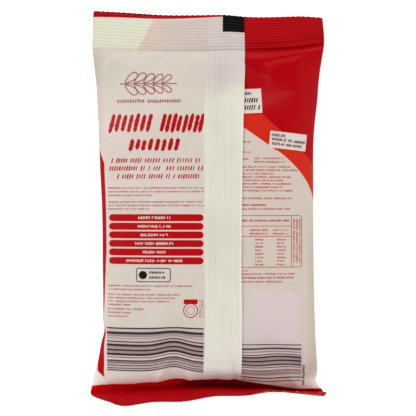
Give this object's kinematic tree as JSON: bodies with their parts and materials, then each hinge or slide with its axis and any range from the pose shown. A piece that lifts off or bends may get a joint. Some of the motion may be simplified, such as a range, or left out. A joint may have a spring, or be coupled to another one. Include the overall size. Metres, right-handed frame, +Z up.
{
  "type": "bag of lentils",
  "caption": "Sealed plastic pillow bag filled with split lentils, with crimped toothed end seals and a folded back seam, lying on its front.",
  "frame": {"origin": "on the surface the bag lies on, under the middle of its bounding box", "axes": "+Y along the bag towards its top seal, +X across it to the right as its back is seen, +Z up out of its back"},
  "size_m": [0.1322, 0.221, 0.0303],
  "materials": {
    "film": "satin",
    "red_print": "satin",
    "pale_print": "satin",
    "dark_print": "satin",
    "brown_print": "satin"
  },
  "bodies": {
    "root": {"bag": "film"}
  },
  "joints": []
}
